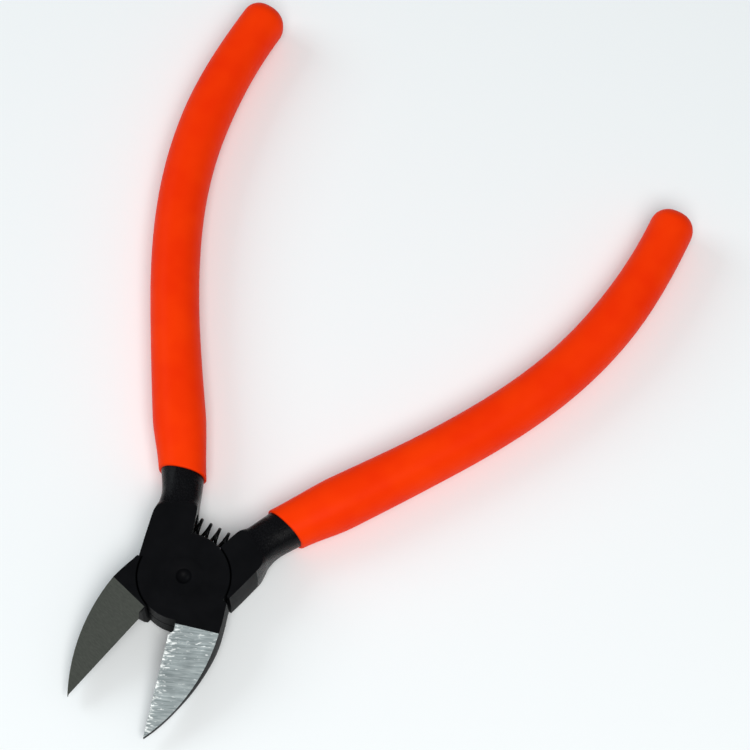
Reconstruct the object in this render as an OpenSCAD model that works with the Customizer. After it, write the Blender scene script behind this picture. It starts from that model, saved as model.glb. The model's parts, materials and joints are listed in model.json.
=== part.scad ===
// Flush-cutting diagonal pliers with a lap joint, a return spring and dipped grips.
// The pivot axis is the Z axis and the underside of the head lies on Z = 0.
// The jaws point along +Y, the handles run back along -Y, and the jaws stand fully open.

/* [Head] */
// Thickness of the head, face to face
head_t = 8.2; // [7.6:0.1:9]
// Radius of each half's round joint disc
disc_r = 8.45; // [8:0.05:8.5]
// Gap around each disc, inside the other half's recess
disc_gap = 0.25; // [0.15:0.05:0.3]
// Gap between the two discs where they lap
lap_gap = 0.1; // [0.06:0.02:0.2]
// Angle that the jaws open to, from closed to the stop
open_deg = 31; // [28:0.5:33]
// Angle left between the stop faces when the jaws are open
stop_gap_deg = 0.8; // [0.6:0.1:1.5]

/* [Blades] */
// Distance from the pivot to the blade tips
blade_l = 29.5; // [27:0.5:32]
// Widest distance from the cutting edge to the blade's outer side
blade_w = 9.4; // [9:0.1:10]
// Distance from the pivot to where the flat ground face begins
grind_y = 9.1; // [9:0.1:10]
// Slope of the ground face down towards the tips, in degrees
grind_deg = 16.5; // [12:0.5:17]
// Clearance that each cutting edge keeps from the centre line when closed
edge_gap = 0.06; // [0.04:0.01:0.15]
// Angle between the ground face and the bevel under the cutting edge
wedge_deg = 50; // [40:1:60]

/* [Tangs] */
// Gap between the tangs' inner edges beside the spring, with the jaws closed
tang_gap = 1.5; // [1.4:0.1:2]
// Half of the steel shank's width
shank_w = 3.45; // [3.2:0.05:3.6]
// Half of the steel shank's thickness
shank_t = 4; // [3.6:0.05:4.05]

/* [Grips] */
// Wall of the dipped coating, at the sides
grip_wall = 1.2; // [1:0.1:1.4]
// Length of the rounded end of each grip
grip_cap = 3.5; // [3:0.1:5]

/* [Rivet] */
// Radius of the rivet's shank
rivet_r = 2.6; // [2.2:0.1:3]
// Radius of the rivet's flush heads
rivet_head_r = 3.6; // [3.4:0.1:4]
// Depth of the cone under each rivet head
rivet_head_h = 1.1; // [1:0.1:1.5]
// Clearance around the rivet in the half that turns on it
rivet_gap = 0.04; // [0.02:0.01:0.08]
// Radius of the round dimple in the rivet's upper end
dimple_r = 1.45; // [1.2:0.05:1.8]

/* [Spring] */
// Radius of the coil, to the outside of the wire
coil_r = 1.93; // [1.8:0.01:2]
// Thickness of the spring wire
wire_d = 0.65; // [0.6:0.05:0.7]
// Number of turns
turns = 6.5; // [6:0.5:7.5]
// Distance from the pivot back to the spring's axis
spring_y = 10.6; // [10.6:0.05:10.8]
// Depth of each spring seat in the tang
seat_h = 3; // [2.6:0.1:3.4]

/* [Hidden] */

steel_black = [0.07, 0.07, 0.08];
spring_black = [0.12, 0.12, 0.13];
grip_orange = [0.93, 0.2, 0.02];

half_deg = open_deg / 2;
mid_z = head_t / 2;
recess_r = disc_r + disc_gap;
over = 1;                                // how far a cut runs past the solid
far = 60;                                // size of the blocks that cut whole faces
$fn = 96;

// Blade outline, jaws closed: a straight cutting edge and one outer arc
arc_y = 7.2;                             // where the outer arc starts, level with its centre
arc_w = blade_w - edge_gap;
arc_h = blade_l - arc_y;
arc_r = (arc_w * arc_w + arc_h * arc_h) / (2 * arc_w);
arc_c = [arc_r - blade_w, arc_y];
arc_steps = 24;
root_step = 0.85;                        // how far the edge steps back at the blade's root
root_y = 10.4;                           // where that step ends
edge_y = 11.3;                           // where the cutting edge starts
edge_z = mid_z - (edge_y - grind_y) * tan(grind_deg);
lift_y = 12;                             // where the underside starts to rise towards the tips
lift_deg = 3;
corner_y = 8;                            // where the cut along the underside's outer corner starts
corner_deg = 50;                         // slope of that cut
chord_deg = atan2(blade_w - edge_gap, blade_l - corner_y);

// Stop faces, as [radius, angle]: each blade's root meets the other half's tang
stop_in = [8, 18.2];
stop_out = [10.05, 20];
tang_turn = open_deg + stop_gap_deg;
tang_stop_out = [9.4, 19.4 - tang_turn];

// Tang outline
tang_in_x = tang_gap / 2;
tang_side = [[9.3, -5.1], [9.15, -8.2], [8.6, -12]];
tang_foot = [[tang_in_x + 0.3, -14.4], [tang_in_x + 0.06, -12.3], [tang_in_x, -8.4]];

// Handle path: a short curve for the bare shank, then a long one under the grip
shank_path = [[4.6, -10.6], [4.45, -14.4], [4.65, -17.4], [5.7, -20.4]];
grip_path = [[5.7, -20.4], [18.6, -60.8], [26.9, -81.2], [14.8, -116.3]];
core_end = 0.955;                        // how far along the grip path the steel runs
sides = 20;                              // sides of each ring around the handle
shank_steps = 5;
grip_steps = 20;
cap_steps = 4;
cap_square = 0.8;                        // 1 is a round end, less is squarer
turn_in = 0.1;                           // share of the path over which rings turn square to it
mouth_swell = 0.45;                      // extra half width of the shank and of the grip's mouth
end_taper = 0.1;                         // how much the handle narrows towards its end
thin_mouth = 0.6;                        // how much thinner the coating is at its mouth
face_wall = 1.15;                        // the coating's wall over the faces, against the sides

// The spring's seats, in line along X when the jaws are open
seat_r = coil_r + 0.27;
seat_mouth = spring_y * tan(half_deg) + tang_in_x / cos(half_deg);
seat_floor = seat_mouth + seat_h;
spring_l = 2 * seat_floor - 0.6;
wind_start = 169;                        // where on its circle the coil starts, in degrees
wire_sides = 6;
turn_steps = 16;

function polar(p) = [p[0] * cos(p[1]), p[0] * sin(p[1])];
function mix(a, b, t) = a + (b - a) * t;
function smooth(t) = let (c = min(1, max(0, t))) c * c * (3 - 2 * c);
function bezier(p, t) =
    pow(1 - t, 3) * p[0] + 3 * pow(1 - t, 2) * t * p[1] + 3 * (1 - t) * t * t * p[2] + pow(t, 3) * p[3];
function slope(p, t) =
    pow(1 - t, 2) * (p[1] - p[0]) + 2 * (1 - t) * t * (p[2] - p[1]) + t * t * (p[3] - p[2]);

// A place on the handle: u runs from -1 to 0 along the shank and from 0 to 1 along the grip
function centre(u) = u < 0 ? bezier(shank_path, u + 1) : bezier(grip_path, u);
function heading(u) =
    let (d = u < 0 ? slope(shank_path, u + 1) : slope(grip_path, u)) atan2(d[0], -d[1]);
function across(u) = u < 0 ? 0 : heading(u) * smooth(u / turn_in);
function taper(u) = 1 - end_taper * smooth((u - 0.75) / 0.25);
function swell(u) = mouth_swell * (1 - smooth(u / 0.3));
function roundness(u) = mix(0.62, 0.88, smooth(u + 1));   // 1 is an ellipse, less is squarer
function coat(u) = grip_wall * (1 - thin_mouth + thin_mouth * smooth(u / turn_in));

// One closed ring of points around the handle, grown by a wall and shrunk towards the cap
function ring(u, wall = 0, shrink = 1, ahead = 0) =
    let (c = centre(u), h = heading(u), k = across(u), e = roundness(u),
         a = (shank_w * taper(u) + swell(u) + wall) / cos(h - k) * shrink,
         b = (shank_t * taper(u) + wall * face_wall) * shrink)
    [for (i = [0 : sides - 1])
        let (t = 360 * i / sides,
             s = a * sign(cos(t)) * pow(abs(cos(t)), e),
             z = b * sign(sin(t)) * pow(abs(sin(t)), e))
        [c[0] + ahead * sin(h) + s * cos(k), c[1] - ahead * cos(h) + s * sin(k), z]];

// Triangles that join ring number r to the next, and a fan that closes a ring on one point
function band(r, flip) = [for (i = [0 : sides - 1])
    let (j = (i + 1) % sides, a = r * sides + i, b = r * sides + j, c = a + sides, d = b + sides)
    each flip ? [[a, b, c], [b, d, c]] : [[a, c, b], [b, c, d]]];
function fan(r, point, flip) = [for (i = [0 : sides - 1])
    let (j = (i + 1) % sides, a = r * sides + i, b = r * sides + j)
    flip ? [a, b, point] : [b, a, point]];

grip_us = [for (i = [0 : grip_steps]) core_end * i / grip_steps];
core_us = concat([for (i = [0 : shank_steps - 1]) i / shank_steps - 1], grip_us);

// Flat outlines of one half, jaws closed, seen from above
module blade_plan() {
    tip_deg = asin(arc_h / arc_r);
    polygon(concat(
        [[0, 0], [-root_step, disc_r - 1], [-root_step, root_y], [-edge_gap, edge_y]],
        [for (i = [0 : arc_steps])
            let (t = 180 - tip_deg * (1 - i / arc_steps)) arc_c + arc_r * [cos(t), sin(t)]],
        [polar([stop_out[0], 180 - stop_out[1]]), polar([stop_in[0], 180 - stop_in[1]])]));
}

module tang_plan() {
    polygon(concat(
        [[tang_in_x, 0], polar([stop_in[0], stop_in[1] - tang_turn]), polar(tang_stop_out)],
        tang_side, tang_foot));
}

// What is ground or forged away around the blade
module blade_cuts() {
    // Ground face, sloping down towards the tips
    translate([-far / 2, grind_y, mid_z])
        rotate([-grind_deg, 0, 0])
            cube(far);
    // Bevel under the cutting edge
    translate([-edge_gap, edge_y, edge_z])
        rotate([-grind_deg, 0, 0])
            rotate([0, 90 - wedge_deg, 0])
                translate([0, -over, -far / 2])
                    cube(far);
    // Underside, rising towards the tips
    translate([-far / 2, lift_y, -mid_z])
        rotate([lift_deg, 0, 0])
            translate([0, 0, -far])
                cube(far);
    // Outer corner of the underside, cut off along a straight line from the root to the tip
    translate([-blade_w, corner_y, -mid_z])
        rotate([0, 0, -chord_deg])
            rotate([0, corner_deg, 0])
                translate([-far, -far / 2, -far])
                    cube(far);
}

module blade() {
    difference() {
        translate([0, 0, -mid_z]) linear_extrude(head_t) blade_plan();
        blade_cuts();
    }
}

// The steel shank that runs from the tang into the grip
module shank() {
    rings = len(core_us);
    polyhedron(
        concat([for (u = core_us) each ring(u)],
            [concat(centre(core_us[0]), 0), concat(centre(core_end), 0)]),
        concat([for (r = [0 : rings - 2]) each band(r, false)],
            fan(0, rings * sides, true),
            fan(rings - 1, rings * sides + 1, false)),
        convexity = 4);
}

module spring_seat() {
    rotate([0, 0, -half_deg])
        translate([seat_mouth - 2 * over, -spring_y, 0])
            rotate([0, 90, 0])
                cylinder(r = seat_r, h = seat_h + 2 * over);
}

// The rivet as turned, or the hole for it when grown by a gap
module rivet_body(gap = 0) {
    rotate_extrude()
        polygon([[0, -mid_z], [rivet_head_r + gap, -mid_z], [rivet_r + gap, rivet_head_h - mid_z],
                 [rivet_r + gap, mid_z - rivet_head_h], [rivet_head_r + gap, mid_z], [0, mid_z]]);
}

// One forged half in its closed place. The disc is above the lap when side is 1, below it when -1
module half(side, gap) {
    disc_h = (head_t - lap_gap) / 2;
    difference() {
        union() {
            difference() {
                union() {
                    blade();
                    translate([0, 0, -mid_z]) linear_extrude(head_t) tang_plan();
                }
                translate([0, 0, side > 0 ? -mid_z - over : -lap_gap / 2])
                    cylinder(r = recess_r, h = mid_z + lap_gap / 2 + over);
            }
            translate([0, 0, side > 0 ? mid_z - disc_h : -mid_z]) cylinder(r = disc_r, h = disc_h);
            shank();
        }
        rivet_body(gap);
        spring_seat();
    }
}

// The dipped coating: an outer skin with a rounded end, and the cavity that the shank fills
module grip() {
    caps = [for (i = [1 : cap_steps]) 90 * i / (cap_steps + 0.5)];
    outer_us = concat(grip_us, [(1 + core_end) / 2, 1]);
    outer_n = len(outer_us) + len(caps);
    inner_n = len(grip_us);
    tip = outer_n + inner_n;
    polyhedron(
        concat([for (u = outer_us) each ring(u, coat(u))],
            [for (t = caps) each ring(1, coat(1), pow(cos(t), cap_square), grip_cap * sin(t))],
            [for (u = grip_us) each ring(u)],
            [concat(centre(1) + grip_cap * [sin(heading(1)), -cos(heading(1))], 0),
             concat(centre(core_end), 0)]),
        concat([for (r = [0 : outer_n - 2]) each band(r, false)],
            fan(outer_n - 1, tip * sides, false),
            [for (r = [outer_n : tip - 2]) each band(r, true)],
            fan(tip - 1, tip * sides + 1, true),
            [for (i = [0 : sides - 1])
                let (j = (i + 1) % sides, a = i, b = j, c = outer_n * sides + i, d = outer_n * sides + j)
                each [[a, b, c], [b, d, c]]]),
        convexity = 6);
}

// A round wire wound along X, standing in both seats
module coil() {
    wire_r = wire_d / 2;
    mean_r = coil_r - wire_r;
    rings = turns * turn_steps + 1;
    rise = spring_l - wire_d;
    lean = atan2(rise / turns, 2 * PI * mean_r);
    points = [for (i = [0 : rings - 1], j = [0 : wire_sides - 1])
        let (t = wind_start + 360 * i / turn_steps, w = 360 * j / wire_sides,
             r = mean_r + wire_r * cos(w), x = wire_r * sin(w),
             p = [r * cos(t) + x * sin(lean) * sin(t), r * sin(t) - x * sin(lean) * cos(t)])
        [rise * (i / (rings - 1) - 0.5) + x * cos(lean), p[0], p[1]]];
    last = (rings - 1) * wire_sides;
    polyhedron(points,
        concat([for (i = [0 : rings - 2], j = [0 : wire_sides - 1])
                let (k = (j + 1) % wire_sides, a = i * wire_sides + j, b = i * wire_sides + k,
                     c = a + wire_sides, d = b + wire_sides)
                each [[a, b, c], [b, d, c]]],
            [[for (j = [0 : wire_sides - 1]) wire_sides - 1 - j]],
            [[for (j = [0 : wire_sides - 1]) last + j]]),
        convexity = 10);
}

// Each half opens by half of the full angle. The lower half is the upper one's mirror image
module place_upper() { translate([0, 0, mid_z]) rotate([0, 0, half_deg]) children(); }
module place_lower() { translate([0, 0, mid_z]) rotate([0, 0, -half_deg]) mirror([1, 0, 0]) children(); }

module upper_half() { color(steel_black) place_upper() half(1, rivet_gap); }
module lower_half() { color(steel_black) place_lower() half(-1, 0); }
module upper_grip() { color(grip_orange) place_upper() grip(); }
module lower_grip() { color(grip_orange) place_lower() grip(); }

// The dimple is the cap of a ball that is a little larger than the dimple's rim
module pivot_rivet() {
    ball_r = dimple_r * 1.12;
    ball_z = head_t + sqrt(ball_r * ball_r - dimple_r * dimple_r);
    color(steel_black)
        difference() {
            translate([0, 0, mid_z]) rivet_body();
            translate([0, 0, ball_z]) sphere(r = ball_r);
        }
}

module return_spring() {
    color(spring_black) translate([0, -spring_y, mid_z]) coil();
}

upper_half();
lower_half();
upper_grip();
lower_grip();
pivot_rivet();
return_spring();
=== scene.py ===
"""The looks of a pair of flush-cutting diagonal pliers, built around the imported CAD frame.

Shapes are worked out in millimetres, in one closed half's own frame: the pivot is the origin, the jaws point
along +Y, the blade is on the -X side, the tang on the +X side, and Z = 0 is the middle of the head.
place() mirrors that half for the lower one, opens it, and turns it into metres in the CAD frame.
"""

import json
import math

import bmesh
import bpy
from mathutils import Matrix, Vector


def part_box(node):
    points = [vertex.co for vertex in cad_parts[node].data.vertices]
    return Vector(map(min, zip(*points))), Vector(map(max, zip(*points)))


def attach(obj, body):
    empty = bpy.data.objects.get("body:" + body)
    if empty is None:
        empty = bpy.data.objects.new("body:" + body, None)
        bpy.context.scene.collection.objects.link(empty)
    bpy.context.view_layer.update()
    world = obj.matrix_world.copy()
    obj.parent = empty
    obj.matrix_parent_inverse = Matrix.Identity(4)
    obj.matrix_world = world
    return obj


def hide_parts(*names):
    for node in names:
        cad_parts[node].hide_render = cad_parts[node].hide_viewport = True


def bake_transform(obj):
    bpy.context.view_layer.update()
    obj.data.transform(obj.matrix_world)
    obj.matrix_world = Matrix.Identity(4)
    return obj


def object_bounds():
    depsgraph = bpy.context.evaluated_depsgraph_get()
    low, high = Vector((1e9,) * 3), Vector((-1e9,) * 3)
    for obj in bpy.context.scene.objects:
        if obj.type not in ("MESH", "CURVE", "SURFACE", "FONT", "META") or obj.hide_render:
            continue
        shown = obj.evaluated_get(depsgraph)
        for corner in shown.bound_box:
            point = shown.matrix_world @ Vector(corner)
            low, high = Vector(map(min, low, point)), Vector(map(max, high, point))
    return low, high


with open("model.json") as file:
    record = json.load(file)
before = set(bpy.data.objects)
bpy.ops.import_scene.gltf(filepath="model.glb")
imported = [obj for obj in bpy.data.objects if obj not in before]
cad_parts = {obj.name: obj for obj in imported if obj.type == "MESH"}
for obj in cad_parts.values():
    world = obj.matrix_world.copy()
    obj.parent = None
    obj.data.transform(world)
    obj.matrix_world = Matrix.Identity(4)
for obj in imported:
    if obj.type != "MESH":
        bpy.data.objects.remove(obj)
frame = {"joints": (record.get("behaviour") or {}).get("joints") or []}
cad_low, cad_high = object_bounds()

MM = 0.001

# Sizes of the head, in millimetres
HEAD_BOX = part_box("upper_half")
MID = (HEAD_BOX[1].z - HEAD_BOX[0].z) / MM / 2
OPEN_DEG = frame["joints"][0]["range_deg"][1]
HALF_OPEN = math.radians(OPEN_DEG / 2)
DISC_R = 8.45
RECESS_R = 8.7
LAP_GAP = 0.1
RIM = 0.12                      # chamfer around discs and recesses
EDGE_ROUND = 0.09               # rounding of the head's outer edges
MERGE = 0.002                   # points closer than this become one after rounding
LATHE_STEPS = 144               # steps round a lathed piece
RIM_ANGLE = math.radians(50)    # edges of the faces that turn by more than this are rounded

# The blade
BLADE_L = 29.5
BLADE_W = 9.4
GRIND_Y = 9.1
GRIND_SLOPE = math.tan(math.radians(16.5))
EDGE_GAP = 0.06
WEDGE_RUN = math.tan(math.radians(40))
FACE_W = 9.0                    # width across the top face, less than at the middle of the head
ARC_Y = 7.2
ARC_W = FACE_W - EDGE_GAP
ARC_H = BLADE_L - ARC_Y
ARC_R = (ARC_W ** 2 + ARC_H ** 2) / (2 * ARC_W)
ARC_X = ARC_R - FACE_W
ROOT_W = 8.85                   # width at the root, beside the stop
ROOT_RUN = 5                    # length over which it widens to the arc
ROOT_FOOT = 0.35                # how far the root stays from the centre line at its foot
ROOT_STEP = 0.85                # how far the edge steps back at the root
ROOT_Y = 10.4
EDGE_Y = 11.3
LIFT_Y = 12
LIFT_SLOPE = math.tan(math.radians(3))
WALL_SLOPE = (BLADE_W - FACE_W) / MID
WALL_FADE = 3                   # the wall's slope runs out where the blade is narrower than this
EDGE_LAND = 0.02                # flat below the cutting edge
BEVEL_SHARE = 0.7               # how far across the blade the bevel below may reach
CORNER_Y = 8                    # where the cut along the underside's outer corner starts
CORNER_RUN = 7                  # length over which it grows
CORNER_W = 3.4
CORNER_W_SHARE = 0.62           # of the underside beside the bevel, where that is narrow
CORNER_H_SHARE = 0.55           # of the blade's depth
CORNER_FADE = 0.75              # how much of that height is lost towards the tip
FADE_Y = 19
FADE_RUN = 9
ROOT_MARKS = (-1.5, 2, 4, 6, ARC_Y, 8.2, GRIND_Y, 9.5, 9.95, ROOT_Y, 10.85, EDGE_Y, LIFT_Y)
BLADE_STEPS = 44                # sections from there to the tip
TIP_FLAT = 0.04                 # how much of the tip's point is left off

# Stop faces, each as two points given by radius and degrees
BLADE_STOP = ((8, 161.8), (10.05, 160))
LOWER_STOP = ((8, -19.5), (10.05, -17.2))   # the lower tang's, which stands back from the blade's root

# The tang
DRAFT = 0.45                    # how far its walls lean in at the top face
DRAFT_BELOW = 0.15              # and at the underside
DRAFT_POWER = 1.3
TANG_STEPS = 54
SQUAREST = 0.05                 # a ring is a box at 0 and an ellipse at 1
FORGED_Y = -10                  # where the rough forged skin starts

# The tang, station by station: inner side, outer side, half thickness, squareness, share of the draft
TANG = (
    ((0.75, -0.9), (9.25, -2.02), 4.6, 0.05, 0.8),
    ((0.75, -2.8), (9.3, -3.2), 4.6, 0.05, 0.9),
    ((0.75, -5.2), (9.3, -5.4), 4.6, 0.05, 1.0),
    ((0.75, -8.4), (9.2, -8.4), 4.6, 0.05, 1.0),
    ((0.8, -11.6), (9.1, -10.5), 4.6, 0.05, 1.0),
    ((0.9, -13.2), (8.95, -11.4), 4.5, 0.1, 1.0),
    ((1.0, -14.3), (8.65, -12.5), 4.1, 0.26, 0.5),
    ((1.1, -15.3), (8.4, -13.7), 3.86, 0.5, 0.0),
    ((1.25, -17.6), (8.55, -16.3), 3.93, 0.74, 0.0),
)

# The handle and its grip, as in the CAD
SHANK_W = 3.45
SHANK_T = 4
GRIP_WALL = 1.2
GRIP_CAP = 3.5
CAP_SQUARE = 0.8                # 1 is a round end, less is squarer
CAP_STEPS = 13
CAP_TURN = 13.6                 # steps in a whole quarter turn, so that a small flat end is left
GRIP_PATH = ((5.7, -20.4), (18.6, -60.8), (26.9, -81.2), (14.8, -116.3))
GRIP_STEPS = 120
CORE_END = 0.955                # how far along the path the steel runs
CORE_STEPS = 40                 # rings of that steel, and of the cavity around it
CORE_FIT = 0.02                 # gap between the steel and the side of its cavity
TURN_IN = 0.1                   # share of the path over which rings turn square and the coating thickens
END_TAPER = 0.1
TAPER_FROM = 0.75
MOUTH_SWELL = 0.45
SWELL_RUN = 0.3
THIN_MOUTH = 0.6                # how much thinner the coating is at its mouth
FACE_WALL = 1.15                # the coating over the faces, against the sides
HANDLE_SQUARE = 0.88
RING_SIDES = 64

# The rivet and the spring
RIVET_R = 2.6
RIVET_HEAD_R = 3.6
RIVET_HEAD_H = 1.1
RIVET_FIT = 0.01                # gap around the rivet
RIVET_RIM = 0.02
DIMPLE_R = 1.45
DIMPLE_BALL = 1.12 * DIMPLE_R   # radius of the ball that shapes it
DIMPLE_LIP = 0.03
DIMPLE_STEPS = 12
COIL_R = 1.93
WIRE_D = 0.65
TURNS = 6.5
SPRING_Y = 10.6
SPRING_SLACK = 0.6              # how much shorter it is than the way between the seats' floors
SEAT_H = 3
TANG_IN = 0.75
SEAT_R = COIL_R + 0.27
SEAT_MOUTH = SPRING_Y * math.tan(HALF_OPEN) + TANG_IN / math.cos(HALF_OPEN)
SEAT_FLOOR = SEAT_MOUTH + SEAT_H
WIND_START = math.radians(169)

GRIND_TURN = math.radians(-9)   # between the grinding marks and the line square to the cutting edge
FLOOR_GAP = 0.0001              # metres between the floor and the tool
LIT_POINT = Vector((0, -0.05, 0))   # metres


def mix(a, b, t):
    return a + (b - a) * t


def smooth(t):
    c = min(1.0, max(0.0, t))
    return c * c * (3 - 2 * c)


def power(value, e):
    """Keeps the sign and bends the size, which turns a circle into a rounded box."""
    return math.copysign(abs(value) ** e, value)


def bezier(path, t):
    weights = ((1 - t) ** 3, 3 * (1 - t) ** 2 * t, 3 * (1 - t) * t * t, t ** 3)
    return Vector([sum(w * p[k] for w, p in zip(weights, path)) for k in (0, 1)])


def heading(u):
    ahead = bezier(GRIP_PATH, u + 0.001) - bezier(GRIP_PATH, u - 0.001)
    return math.atan2(ahead.x, -ahead.y)


def catmull(rows, t):
    """A smooth value through equally spaced rows of numbers, for t from 0 to 1."""
    span = t * (len(rows) - 1)
    k = min(int(span), len(rows) - 2)
    f = span - k
    p0, p1, p2, p3 = (rows[min(max(k + d, 0), len(rows) - 1)] for d in (-1, 0, 1, 2))
    return [
        b + 0.5 * f * (c - a + f * (2 * a - 5 * b + 4 * c - d + f * (3 * (b - c) + d - a)))
        for a, b, c, d in zip(p0, p1, p2, p3)
    ]


# ---------------------------------------------------------------- mesh helpers

def mesh_object(name, verts, faces):
    mesh = bpy.data.meshes.new(name)
    mesh.from_pydata([tuple(v) for v in verts], [], faces)
    shape = bmesh.new()
    shape.from_mesh(mesh)
    bmesh.ops.recalc_face_normals(shape, faces=shape.faces)
    shape.to_mesh(mesh)
    shape.free()
    piece = bpy.data.objects.new(name, mesh)
    bpy.context.scene.collection.objects.link(piece)
    return piece


def loft(name, rings):
    """A skin over rings of points, capped at both ends."""
    n = len(rings[0])
    count = len(rings)
    faces = []
    for r in range(count - 1):
        for i in range(n):
            j = (i + 1) % n
            faces.append((r * n + i, r * n + j, (r + 1) * n + j, (r + 1) * n + i))
    faces.append(tuple(range(n)))
    faces.append(tuple(range((count - 1) * n, count * n)))
    return mesh_object(name, [p for ring in rings for p in ring], faces)


def lathe(name, profile, steps=LATHE_STEPS):
    """A solid turned about the Z axis from (radius, height) points, capped flat at both ends."""
    angles = [2 * math.pi * i / steps for i in range(steps)]
    return loft(name, [[(r * math.cos(a), r * math.sin(a), z) for a in angles] for r, z in profile])


def slice_off(piece, point, normal):
    """Cuts away what lies on the normal's side of a plane, and closes the cut."""
    shape = bmesh.new()
    shape.from_mesh(piece.data)
    cut = bmesh.ops.bisect_plane(
        shape,
        geom=shape.verts[:] + shape.edges[:] + shape.faces[:],
        dist=1e-5,
        plane_co=point,
        plane_no=normal,
        clear_outer=True,
    )
    rim = [g for g in cut["geom_cut"] if isinstance(g, bmesh.types.BMEdge)]
    bmesh.ops.edgenet_fill(shape, edges=rim)
    bmesh.ops.recalc_face_normals(shape, faces=shape.faces)
    shape.to_mesh(piece.data)
    shape.free()


def polar(r, deg):
    return Vector((r * math.cos(math.radians(deg)), r * math.sin(math.radians(deg))))


def cut_stop(piece, stop):
    """Cuts away what lies to the left of the line through a stop face's two points."""
    a, b = (polar(r, deg) for r, deg in stop)
    along = b - a
    slice_off(piece, (a.x, a.y, 0), (-along.y, along.x, 0))


def combine(piece, tool, operation):
    """Adds a tool's solid to a piece or takes it away, and removes the tool."""
    step = piece.modifiers.new("combine", "BOOLEAN")
    step.operation = operation
    step.object = tool
    step.solver = "EXACT"
    bpy.context.view_layer.update()
    graph = bpy.context.evaluated_depsgraph_get()
    made = bpy.data.meshes.new_from_object(piece.evaluated_get(graph))
    piece.modifiers.clear()
    piece.data = made
    bpy.data.objects.remove(tool)


def round_edges(piece, chosen, width):
    """Rounds the edges that chosen() accepts, then clears up the tiny edges this leaves."""
    shape = bmesh.new()
    shape.from_mesh(piece.data)
    bmesh.ops.remove_doubles(shape, verts=shape.verts, dist=1e-4)
    bmesh.ops.dissolve_limit(
        shape,
        angle_limit=math.radians(0.15),
        verts=shape.verts,
        edges=shape.edges,
    )
    edges = [e for e in shape.edges if len(e.link_faces) == 2 and chosen(e)]
    bmesh.ops.bevel(
        shape,
        geom=edges,
        offset=width,
        offset_type="OFFSET",
        segments=2,
        profile=0.5,
        affect="EDGES",
        clamp_overlap=True,
    )
    bmesh.ops.remove_doubles(shape, verts=shape.verts, dist=MERGE)
    bmesh.ops.dissolve_degenerate(shape, edges=shape.edges, dist=MERGE)
    shape.to_mesh(piece.data)
    shape.free()


def place(piece, lower):
    """Keeps each point's closed place for the materials, then moves the piece to where the CAD has it."""
    mesh = piece.data
    where = mesh.attributes.new("place", "FLOAT_VECTOR", "POINT")
    where.data.foreach_set("vector", [c for v in mesh.vertices for c in v.co])
    turn = Matrix.Rotation(-HALF_OPEN if lower else HALF_OPEN, 4, "Z")
    flip = Matrix.Diagonal((-1 if lower else 1, 1, 1, 1))
    mesh.transform(Matrix.Scale(MM, 4) @ Matrix.Translation((0, 0, MID)) @ turn @ flip)
    if lower:
        mesh.flip_normals()


def shade(piece, sharp_deg):
    piece.data.polygons.foreach_set("use_smooth", [True] * len(piece.data.polygons))
    piece.data.set_sharp_from_angle(angle=math.radians(sharp_deg))


# ---------------------------------------------------------------- one forged half

def outer_x(y):
    """The blade's outer side, along its top edge."""
    if y <= ARC_Y:
        return -mix(FACE_W, ROOT_W, smooth((ARC_Y - y) / ROOT_RUN))
    return ARC_X - math.sqrt(ARC_R ** 2 - (y - ARC_Y) ** 2)


def inner_x(y):
    """The blade's inner side: stepped back at the root, then the cutting edge."""
    return -mix(ROOT_STEP, EDGE_GAP, min(1.0, max(0.0, (y - ROOT_Y) / (EDGE_Y - ROOT_Y))))


def blade_ring(y):
    """A section across the blade, from the cutting edge over the face, down the wall and back below."""
    top = MID - max(0.0, y - GRIND_Y) * GRIND_SLOPE
    bottom = -MID + max(0.0, y - LIFT_Y) * LIFT_SLOPE
    inner = inner_x(y)
    outer = outer_x(y)
    grown = smooth((y - CORNER_Y) / CORNER_RUN)
    share = CORNER_H_SHARE * grown * (1 - CORNER_FADE * smooth((y - FADE_Y) / FADE_RUN))
    corner_top = bottom + (top - bottom) * share
    land = EDGE_LAND + (-inner - EDGE_GAP) / WEDGE_RUN
    bevel_end = max(-EDGE_GAP - WEDGE_RUN * (top - bottom), mix(inner, outer, BEVEL_SHARE))
    bevel_end = mix(-ROOT_FOOT, bevel_end, smooth((y - GRIND_Y) / (EDGE_Y - GRIND_Y)))
    corner_w = max(min(CORNER_W, CORNER_W_SHARE * (bevel_end - outer)) * grown, 0.01)
    slope = WALL_SLOPE * min(1.0, -outer / WALL_FADE)
    ring = [(inner, y, top)]
    for k in range(5):
        z = mix(top, corner_top, k / 4)
        ring.append((outer - slope * (abs(top) - abs(z)), y, z))
    foot = outer - slope * (abs(top) - abs(corner_top))
    for k in range(1, 11):
        a = math.pi / 2 * k / 10
        x = foot + corner_w * (1 - math.cos(a))
        z = corner_top - (corner_top - bottom) * math.sin(a)
        ring.append((x, y, z))
    ring.append((bevel_end, y, bottom))
    ring.append((inner, y, top - land))
    return ring


def make_blade():
    tip = BLADE_L - TIP_FLAT
    marks = [mix(LIFT_Y, tip, (k + 1) / BLADE_STEPS) for k in range(BLADE_STEPS)]
    blade = loft("blade", [blade_ring(y) for y in (*ROOT_MARKS, *marks)])
    cut_stop(blade, BLADE_STOP)
    return blade


def box_ring(inner, outer, thick, e, draft):
    """A ring that spans from inner to outer, square or rounded, with its outer wall drafted."""
    inner = Vector(inner)
    outer = Vector(outer)
    centre = (inner + outer) / 2
    reach = (outer - inner) / 2
    ring = []
    for i in range(RING_SIDES):
        t = 2 * math.pi * i / RING_SIDES
        s = power(math.cos(t), e)
        z = thick * power(math.sin(t), e)
        side_draft = DRAFT if z > 0 else DRAFT_BELOW
        lean = side_draft * draft * min(1.0, abs(z) / MID) ** DRAFT_POWER / reach.length
        at = centre + reach * (s * (1 - lean) if s > 0 else s)
        ring.append((at.x, at.y, z))
    return ring


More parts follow.
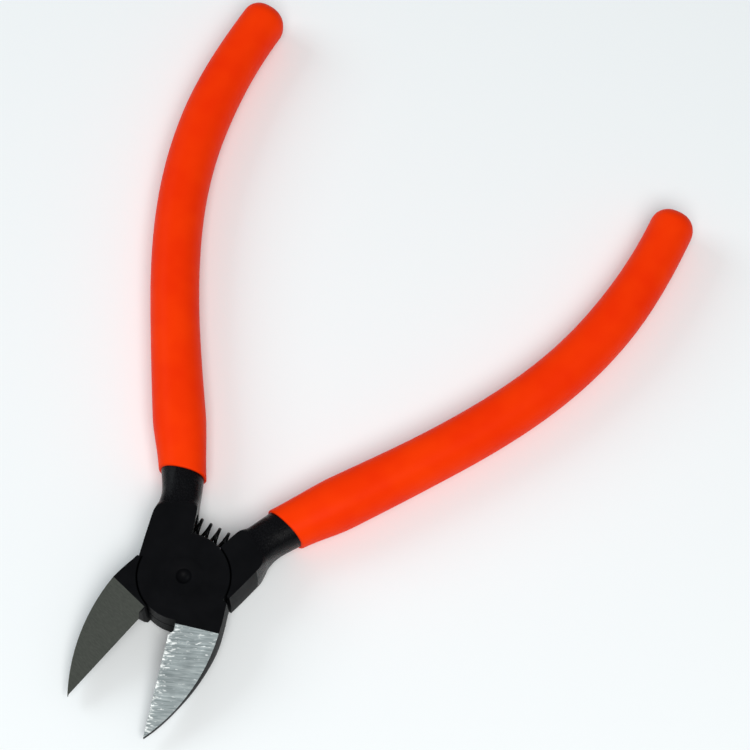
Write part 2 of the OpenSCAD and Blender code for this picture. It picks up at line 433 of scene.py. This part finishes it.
def handle_ring(u, wall=0.0, shrink=1.0, ahead=0.0):
    """A ring around the handle at u, from 0 at the grip's mouth to 1 at its end."""
    at = bezier(GRIP_PATH, u)
    h = heading(u)
    k = h * smooth(u / TURN_IN)
    taper = 1 - END_TAPER * smooth((u - TAPER_FROM) / (1 - TAPER_FROM))
    swell = MOUTH_SWELL * (1 - smooth(u / SWELL_RUN))
    half_w = (SHANK_W * taper + swell + wall) / math.cos(h - k) * shrink
    half_t = (SHANK_T * taper + wall * FACE_WALL) * shrink
    ring = []
    for i in range(RING_SIDES):
        t = 2 * math.pi * i / RING_SIDES
        s = power(math.cos(t), HANDLE_SQUARE)
        z = half_t * power(math.sin(t), HANDLE_SQUARE)
        x = at.x + ahead * math.sin(h) + half_w * s * math.cos(k)
        y = at.y - ahead * math.cos(h) + half_w * s * math.sin(k)
        ring.append((x, y, z))
    return ring


def make_tang(lower):
    mouth = bezier(GRIP_PATH, 0)
    spread = (SHANK_W + MOUTH_SWELL) / math.cos(heading(0))
    last = ((mouth.x - spread, mouth.y), (mouth.x + spread, mouth.y), SHANK_T, HANDLE_SQUARE, 0.0)
    rows = [(*a, *b, thick, e, draft) for a, b, thick, e, draft in TANG + (last,)]
    rings = []
    for k in range(TANG_STEPS + 1):
        ax, ay, bx, by, thick, e, draft = catmull(rows, k / TANG_STEPS)
        rings.append(box_ring((ax, ay), (bx, by), thick, max(e, SQUAREST), min(1.0, max(0.0, draft))))
    rings += [handle_ring(CORE_END * (k + 1) / CORE_STEPS, -CORE_FIT) for k in range(CORE_STEPS)]
    tang = loft("tang", rings)
    slice_off(tang, (0, 0, MID), (0, 0, 1))
    slice_off(tang, (0, 0, -MID), (0, 0, -1))
    if lower:
        cut_stop(tang, LOWER_STOP)
    return tang


def steel_slot(face):
    """Which of a half's three materials a face takes: 0 oxide, 1 ground steel, 2 forged skin."""
    normal, centre = face.normal, face.center
    if normal.z > 0.9 and normal.y > 0.2 and centre.y > GRIND_Y - 0.1 and centre.x < 0.1:
        return 1
    flat = abs(normal.z) > 0.995 and abs(centre.z) > MID - 0.05
    return 2 if centre.x > 0 and centre.y < FORGED_Y and not flat else 0


def make_half(name, lower, materials):
    side = -1 if lower else 1
    low = LAP_GAP / 2
    half = make_blade()
    combine(half, make_tang(lower), "UNION")
    recess = [(RECESS_R, low), (RECESS_R, -MID + RIM), (RECESS_R + RIM, -MID), (RECESS_R + RIM + 1, -MID - 1)]
    combine(half, lathe("recess", [(r, z * side) for r, z in recess]), "DIFFERENCE")
    disc = [(DISC_R - RIM, low), (DISC_R, low + RIM), (DISC_R, MID - RIM), (DISC_R - RIM, MID)]
    combine(half, lathe("disc", [(r, z * side) for r, z in disc]), "UNION")
    head_r = RIVET_HEAD_R + RIVET_FIT
    waist_r = RIVET_R + RIVET_FIT
    hole = [
        (head_r, -MID - 0.5),
        (head_r, -MID),
        (waist_r, RIVET_HEAD_H - MID),
        (waist_r, MID - RIVET_HEAD_H),
        (head_r, MID),
        (head_r, MID + 0.5),
    ]
    combine(half, lathe("hole", hole, 96), "DIFFERENCE")
    seat = lathe("seat", [(SEAT_R, SEAT_MOUTH - 2), (SEAT_R, SEAT_FLOOR)], 64)
    lie = Matrix.Rotation(math.pi / 2, 4, "Y")
    seat.data.transform(Matrix.Rotation(-HALF_OPEN, 4, "Z") @ Matrix.Translation((0, -SPRING_Y, 0)) @ lie)
    combine(half, seat, "DIFFERENCE")

    def outer_rim(edge):
        on_face = all(abs(abs(v.co.z) - MID) < 1e-3 for v in edge.verts)
        return on_face and edge.calc_face_angle(0) > RIM_ANGLE

    round_edges(half, outer_rim, EDGE_ROUND)
    half.name = name
    half.data.name = name
    for material in materials:
        half.data.materials.append(material)
    for face in half.data.polygons:
        face.material_index = steel_slot(face)
    place(half, lower)
    shade(half, 14)
    return half


# ---------------------------------------------------------------- grips, rivet, spring

def make_grip(name, lower, material):
    """The dipped coating, from the bottom of its cavity out over a soft lip and on to its closed end."""
    rings = [handle_ring(CORE_END * (CORE_STEPS - k) / CORE_STEPS) for k in range(CORE_STEPS)]
    thin = GRIP_WALL * (1 - THIN_MOUTH)
    lip = ((0.02, 0.0), (thin - 0.28, 0.0), (thin - 0.12, 0.04), (thin - 0.03, 0.13), (thin, 0.3))
    rings += [handle_ring(0, wall, 1, ahead) for wall, ahead in lip]
    for k in range(1, GRIP_STEPS + 1):
        u = k / GRIP_STEPS
        wall = GRIP_WALL * (1 - THIN_MOUTH + THIN_MOUTH * smooth(u / TURN_IN))
        rings.append(handle_ring(u, wall))
    for k in range(1, CAP_STEPS + 1):
        a = math.pi / 2 * k / CAP_TURN
        rings.append(handle_ring(1, GRIP_WALL, math.cos(a) ** CAP_SQUARE, GRIP_CAP * math.sin(a)))
    grip = loft(name, rings)
    grip.data.materials.append(material)
    place(grip, lower)
    shade(grip, 60)
    return grip


def make_rivet(material):
    bottom = [(0.05, -MID), (RIVET_HEAD_R - RIVET_RIM, -MID), (RIVET_HEAD_R, -MID + RIVET_RIM)]
    waist = [(RIVET_R, RIVET_HEAD_H - MID), (RIVET_R, MID - RIVET_HEAD_H)]
    top = [
        (RIVET_HEAD_R, MID - RIVET_RIM),
        (RIVET_HEAD_R - RIVET_RIM, MID),
        (DIMPLE_R + 0.12, MID),
        (DIMPLE_R + DIMPLE_LIP, MID - DIMPLE_LIP),
    ]
    reach = math.asin(DIMPLE_R / DIMPLE_BALL)
    centre_z = MID + DIMPLE_BALL * math.cos(reach)
    dimple = []
    for k in range(1, DIMPLE_STEPS):
        a = reach * (1 - k / DIMPLE_STEPS)
        dimple.append((DIMPLE_BALL * math.sin(a), centre_z - DIMPLE_BALL * math.cos(a) - DIMPLE_LIP))
    rivet = lathe("rivet", bottom + waist + top + dimple)
    rivet.data.materials.append(material)
    place(rivet, False)
    shade(rivet, 25)
    return rivet


def make_spring(material):
    """A round wire wound along X, its ends standing on the floors of both seats."""
    wire_r = WIRE_D / 2
    mean_r = COIL_R - wire_r
    length = 2 * SEAT_FLOOR - SPRING_SLACK - WIRE_D
    per_turn = 40
    around = 14
    count = int(TURNS * per_turn)
    lean = math.atan2(length / TURNS, 2 * math.pi * mean_r)
    rings = []
    for i in range(count + 1):
        t = WIND_START + 2 * math.pi * i / per_turn
        x0 = length * (i / count - 0.5)
        ring = []
        for j in range(around):
            w = 2 * math.pi * j / around
            r = mean_r + wire_r * math.cos(w)
            s = wire_r * math.sin(w)
            y = r * math.cos(t) + s * math.sin(lean) * math.sin(t)
            z = r * math.sin(t) - s * math.sin(lean) * math.cos(t)
            ring.append((x0 + s * math.cos(lean), y - SPRING_Y, z + MID))
        rings.append(ring)
    spring = loft("spring", rings)
    spring.data.transform(Matrix.Scale(MM, 4))
    spring.data.materials.append(material)
    shade(spring, 50)
    return spring


# ---------------------------------------------------------------- materials

class Recipe:
    """A material's node tree, written one node at a time."""

    def __init__(self, name):
        self.material = bpy.data.materials.new(name)
        self.material.use_nodes = True
        self.tree = self.material.node_tree
        self.tree.nodes.clear()
        self.shader = self.add("ShaderNodeBsdfPrincipled")
        out = self.tree.nodes.new("ShaderNodeOutputMaterial")
        self.tree.links.new(self.shader.outputs[0], out.inputs["Surface"])

    def add(self, kind, values=None, **settings):
        made = self.tree.nodes.new(kind)
        for key, value in settings.items():
            setattr(made, key, value)
        for key, value in (values or {}).items():
            self.give(made.inputs[key], value)
        return made

    def give(self, socket, value):
        if isinstance(value, bpy.types.NodeSocket):
            self.tree.links.new(value, socket)
        else:
            socket.default_value = value

    def surface(self, **values):
        for key, value in values.items():
            self.give(self.shader.inputs[key.replace("_", " ")], value)

    def spot(self, stretch=(1, 1, 1), turn=0.0):
        """Where a point lies on the closed half, in millimetres, turned and stretched to draw a grain out."""
        here = self.add("ShaderNodeAttribute", attribute_name="place")
        turned = self.add("ShaderNodeMapping", {"Vector": here.outputs["Vector"], "Rotation": (0, 0, turn)})
        fit = self.add("ShaderNodeMapping", {"Vector": turned.outputs["Vector"], "Scale": stretch})
        return fit.outputs["Vector"]

    def axis(self, at, name):
        return self.add("ShaderNodeSeparateXYZ", {"Vector": at}).outputs[name]

    def sum(self, a, b):
        return self.add("ShaderNodeMath", {0: a, 1: b}, operation="ADD").outputs[0]

    def noise(self, at, scale, detail=3.0, rough=0.55):
        values = {"Vector": at, "Scale": scale, "Detail": detail, "Roughness": rough}
        return self.add("ShaderNodeTexNoise", values).outputs["Fac"]

    def spread(self, value, low, high, to_low, to_high):
        values = {"Value": value, "From Min": low, "From Max": high, "To Min": to_low, "To Max": to_high}
        return self.add("ShaderNodeMapRange", values).outputs["Result"]

    def blend_colours(self, factor, a, b):
        made = self.add("ShaderNodeMix", data_type="RGBA")
        self.give(made.inputs[0], factor)
        self.give(made.inputs[6], (*a, 1) if isinstance(a, tuple) else a)
        self.give(made.inputs[7], (*b, 1) if isinstance(b, tuple) else b)
        return made.outputs[2]

    def bump(self, height, depth_mm, strength=1.0, under=None):
        values = {"Height": height, "Strength": strength, "Distance": depth_mm * MM}
        if under:
            values["Normal"] = under
        return self.add("ShaderNodeBump", values).outputs["Normal"]


def black_steel():
    """Black oxide over a fine machined surface."""
    r = Recipe("black_oxide")
    at = r.spot()
    patches = r.noise(at, 0.25, 4)
    grain = r.noise(at, 6.0, 3)
    patch = r.spread(patches, 0.3, 0.7, 0, 1)
    r.surface(
        Base_Color=r.blend_colours(patch, (0.0022, 0.0024, 0.003), (0.004, 0.0042, 0.005)),
        Roughness=r.spread(grain, 0.2, 0.8, 0.4, 0.55),
        IOR=1.25,
        Specular_IOR_Level=0.15,
        Normal=r.bump(grain, 0.01, 0.35),
    )
    return r.material


def forged_steel():
    """The same oxide over a rough forged skin, a little glossier."""
    r = Recipe("black_forging")
    at = r.spot((1, 0.7, 1))
    lumps = r.noise(at, 1.1, 4, 0.6)
    pits = r.noise(at, 4.5, 3, 0.6)
    worn = r.spread(pits, 0.55, 0.75, 0, 1)
    r.surface(
        Base_Color=r.blend_colours(worn, (0.0022, 0.0023, 0.003), (0.009, 0.0095, 0.011)),
        Roughness=r.spread(pits, 0.3, 0.7, 0.22, 0.36),
        IOR=1.25,
        Specular_IOR_Level=0.3,
        Normal=r.bump(pits, 0.07, 0.8, r.bump(lumps, 0.22, 0.6)),
    )
    return r.material


def painted_shaded_ground_steel():
    """Finely ground steel, the darker of two copies of the blade steel, its colour holding painted shade for
    the blade that faces away from the light: an even grey with a faint grain.
    """
    r = Recipe("painted_shaded_ground_steel")
    lines = r.noise(r.spot((0.2, 1, 1)), 6.0, 3)
    streak = r.spread(lines, 0.3, 0.7, 0, 1)
    r.surface(
        # Painted shade: a darker grey than the other blade's steel, as this blade faces away from the light.
        Base_Color=r.blend_colours(streak, (0.08, 0.086, 0.075), (0.106, 0.112, 0.098)),
        Metallic=1.0,
        Roughness=0.36,
        Normal=r.bump(lines, 0.01, 0.15),
    )
    return r.material


def painted_lit_ground_steel():
    """Coarsely ground steel, the lighter of two copies of the blade steel, its colour holding painted light:
    long marks across the blade, and a painted glint that whitens it along the cutting edge and at the root.
    """
    r = Recipe("painted_lit_ground_steel")
    at = r.spot()
    lines = r.noise(r.spot((0.07, 1, 1), GRIND_TURN), 3.2, 3, 0.6)
    specks = r.noise(r.spot((0.3, 1, 1), GRIND_TURN), 3.0, 2, 0.5)
    cloud = r.noise(at, 0.35, 2)
    # Painted highlight: a glint of white specks that grows towards the cutting edge and the root.
    by_edge = r.spread(r.axis(at, "X"), -2.6, -0.2, 0, 0.2)
    by_root = r.spread(r.axis(at, "Y"), 16, 12, 0, 0.06)
    painted_glint = r.spread(r.sum(specks, r.sum(by_edge, by_root)), 0.67, 0.85, 0, 1)
    # Painted light: the streaked grey is lighter than the other blade's, as this blade faces the light.
    field = r.blend_colours(r.spread(lines, 0.35, 0.68, 0, 1), (0.09, 0.106, 0.11), (0.165, 0.187, 0.19))
    r.surface(
        Base_Color=r.blend_colours(painted_glint, field, (0.42, 0.44, 0.44)),
        Metallic=1.0,
        Roughness=r.spread(cloud, 0.3, 0.7, 0.32, 0.42),
        Normal=r.bump(specks, 0.012, 0.4, r.bump(lines, 0.015, 0.5)),
    )
    return r.material


def grip_vinyl():
    """Dipped vinyl: satin, with a faint unevenness from the dipping."""
    r = Recipe("orange_vinyl")
    at = r.spot()
    waves = r.noise(at, 0.12, 2)
    skin = r.noise(at, 3.5, 3)
    colour = r.blend_colours(r.spread(waves, 0.3, 0.7, 0, 1), (0.9, 0.03, 0.0008), (0.96, 0.042, 0.001))
    r.surface(
        Base_Color=colour,
        Roughness=r.spread(skin, 0.3, 0.7, 0.42, 0.5),
        Specular_IOR_Level=0.03,
        Normal=r.bump(skin, 0.01, 0.3, r.bump(waves, 0.1, 0.2)),
    )
    return r.material


def spring_steel():
    """Dark music wire with fine drawing marks."""
    r = Recipe("spring_wire")
    where = r.add("ShaderNodeTexCoord").outputs["Object"]
    marks = r.noise(where, 2500.0, 3)
    colour = r.blend_colours(marks, (0.0012, 0.0012, 0.0015), (0.003, 0.003, 0.0035))
    r.surface(Base_Color=colour, Roughness=0.3, Specular_IOR_Level=0.08, Normal=r.bump(marks, 0.01, 0.3))
    return r.material


def floor_paint():
    r = Recipe("pale_floor")
    where = r.add("ShaderNodeTexCoord").outputs["Object"]
    cloud = r.noise(where, 3.0, 2)
    r.surface(
        Base_Color=r.blend_colours(cloud, (0.92, 0.95, 0.96), (0.94, 0.97, 0.98)),
        Roughness=0.9,
        Specular_IOR_Level=0.2,
    )
    return r.material


# ---------------------------------------------------------------- stage

def make_floor():
    size = 3.0
    floor = mesh_object(
        "floor",
        [(-size, -size, 0), (size, -size, 0), (size, size, 0), (-size, size, 0)],
        [(0, 1, 2, 3)],
    )
    floor.data.transform(Matrix.Translation((0, 0, cad_low.z - FLOOR_GAP)))
    floor.data.materials.append(floor_paint())


def make_light(name, towards, distance, size, energy, colour):
    """A soft square light that looks at the tool from a direction."""
    data = bpy.data.lights.new(name, "AREA")
    data.shape = "SQUARE"
    data.size = size
    data.energy = energy
    data.color = colour
    light = bpy.data.objects.new(name, data)
    bpy.context.scene.collection.objects.link(light)
    direction = Vector(towards).normalized()
    light.location = LIT_POINT + direction * distance
    light.rotation_mode = "QUATERNION"
    light.rotation_quaternion = direction.to_track_quat("Z", "Y")


def make_sky(strength, colour):
    world = bpy.data.worlds.new("studio")
    world.use_nodes = True
    back = world.node_tree.nodes["Background"]
    back.inputs["Color"].default_value = (*colour, 1)
    back.inputs["Strength"].default_value = strength
    bpy.context.scene.world = world


def make_camera():
    azimuth, elevation, roll = (math.radians(a) for a in (204.826, 67.264, -4.45))
    target = Vector((-10.37, -53.45, 4.1)) * MM
    distance = 585.2 * MM
    back = Vector((
        math.sin(azimuth) * math.cos(elevation),
        -math.cos(azimuth) * math.cos(elevation),
        math.sin(elevation),
    ))
    level_right = Vector((0, 0, 1)).cross(back).normalized()
    level_up = back.cross(level_right)
    up = level_up * math.cos(roll) + level_right * math.sin(roll)
    right = up.cross(back)
    data = bpy.data.cameras.new("camera")
    data.lens = 148.94
    data.sensor_width = 36
    data.clip_start = 0.01
    camera = bpy.data.objects.new("camera", data)
    bpy.context.scene.collection.objects.link(camera)
    turn = Matrix((right, up, back)).transposed().to_4x4()
    camera.matrix_world = Matrix.Translation(target + back * distance) @ turn
    bpy.context.scene.camera = camera


def finish_as(piece, body, node):
    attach(piece, body)
    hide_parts(node)


def build():
    oxide = black_steel()
    forging = forged_steel()
    vinyl = grip_vinyl()
    # Two copies of the ground steel: the lighter, with painted light, for the upper blade, and the darker,
    # with painted shade, for the lower blade.
    painted_lit_steel = painted_lit_ground_steel()
    painted_shaded_steel = painted_shaded_ground_steel()
    upper = make_half("steel_half_upper", False, [oxide, painted_lit_steel, forging])
    finish_as(upper, "upper_handle", "upper_half")
    lower = make_half("steel_half_lower", True, [oxide, painted_shaded_steel, forging])
    finish_as(lower, "lower_handle", "lower_half")
    finish_as(make_grip("vinyl_grip_upper", False, vinyl), "upper_handle", "upper_grip")
    finish_as(make_grip("vinyl_grip_lower", True, vinyl), "lower_handle", "lower_grip")
    finish_as(make_rivet(oxide), "lower_handle", "pivot_rivet")
    spring = make_spring(spring_steel())
    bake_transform(spring)
    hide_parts("return_spring")


build()
make_floor()
make_camera()
make_light("key", (-0.28, 0.4, 0.88), 0.9, 0.5, 5.6, (1.0, 0.99, 0.97))
make_light("side", (0.8, 0.1, 0.6), 1.1, 0.6, 3.2, (0.88, 0.96, 1.0))
make_sky(0.3, (0.93, 0.97, 1.0))
bpy.context.scene.view_settings.view_transform = "Standard"
